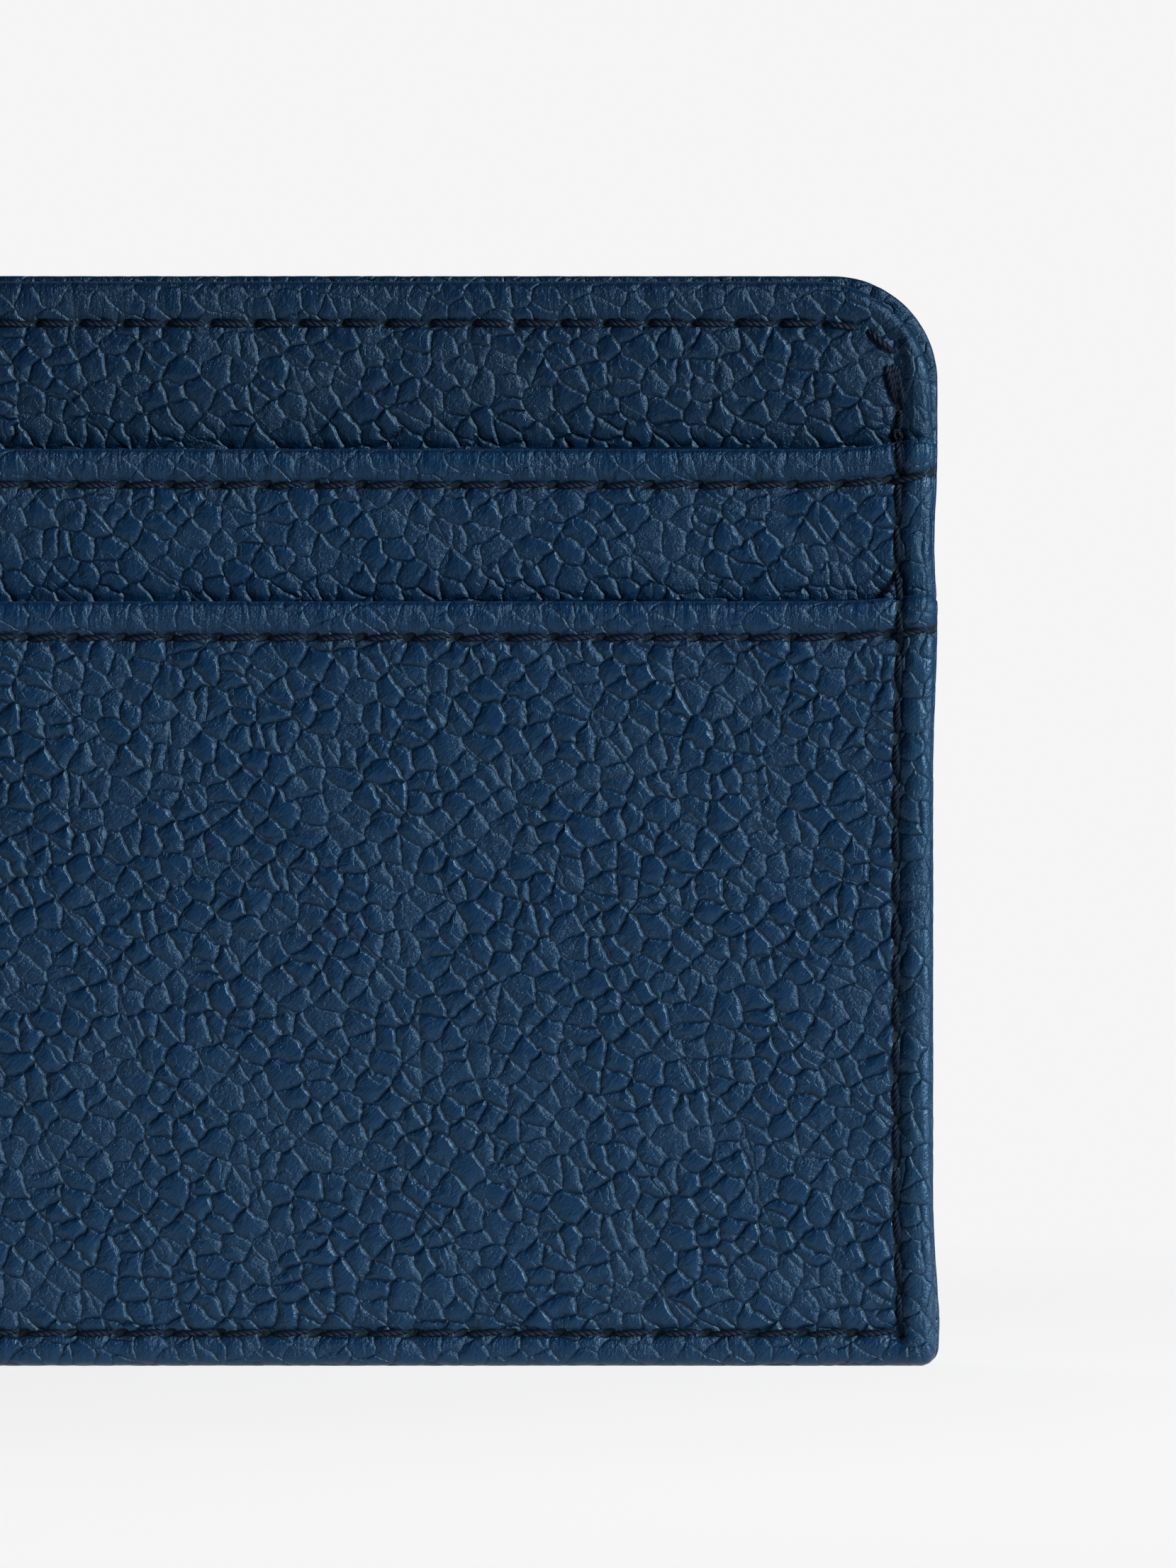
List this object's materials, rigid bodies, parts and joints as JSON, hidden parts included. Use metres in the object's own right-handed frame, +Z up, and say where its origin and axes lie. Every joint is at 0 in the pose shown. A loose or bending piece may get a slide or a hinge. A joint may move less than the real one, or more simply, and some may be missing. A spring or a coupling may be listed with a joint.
{
  "type": "card holder",
  "caption": "Flat sewn card holder in grained leather: two halves with stepped card pockets, joined by a seam on three sides, open centre compartment.",
  "frame": {"origin": "middle of the base it stands on: the turned bottom edges of both halves", "axes": "+X to the right across the width, +Y from the front face to the back face, +Z up to the open top edge"},
  "size_m": [0.105, 0.0074, 0.07],
  "materials": {
    "navy_leather": "pebble-grained, semi-matt",
    "navy_thread": "twisted, slightly waxed",
    "dark_lining": "fine plain weave",
    "grey_board": "matt, uncoated"
  },
  "bodies": {
    "root": {"front_panel": "navy_leather", "front_upper_pocket": "navy_leather", "front_lower_pocket": "navy_leather", "front_tail": "dark_lining", "front_board": "grey_board", "front_lining": "dark_lining", "front_top_stitch": "navy_thread", "front_upper_mouth_stitch": "navy_thread", "front_lower_mouth_stitch": "navy_thread", "front_seam_thread": "navy_thread", "front_tail_seam": "navy_thread", "front_tack_right": "navy_thread", "front_tack_left": "navy_thread", "back_panel": "navy_leather", "back_upper_pocket": "navy_leather", "back_lower_pocket": "navy_leather", "back_tail": "dark_lining", "back_board": "grey_board", "back_lining": "dark_lining", "back_top_stitch": "navy_thread", "back_upper_mouth_stitch": "navy_thread", "back_lower_mouth_stitch": "navy_thread", "back_seam_thread": "navy_thread", "back_tail_seam": "navy_thread", "back_tack_right": "navy_thread", "back_tack_left": "navy_thread"}
  },
  "joints": []
}
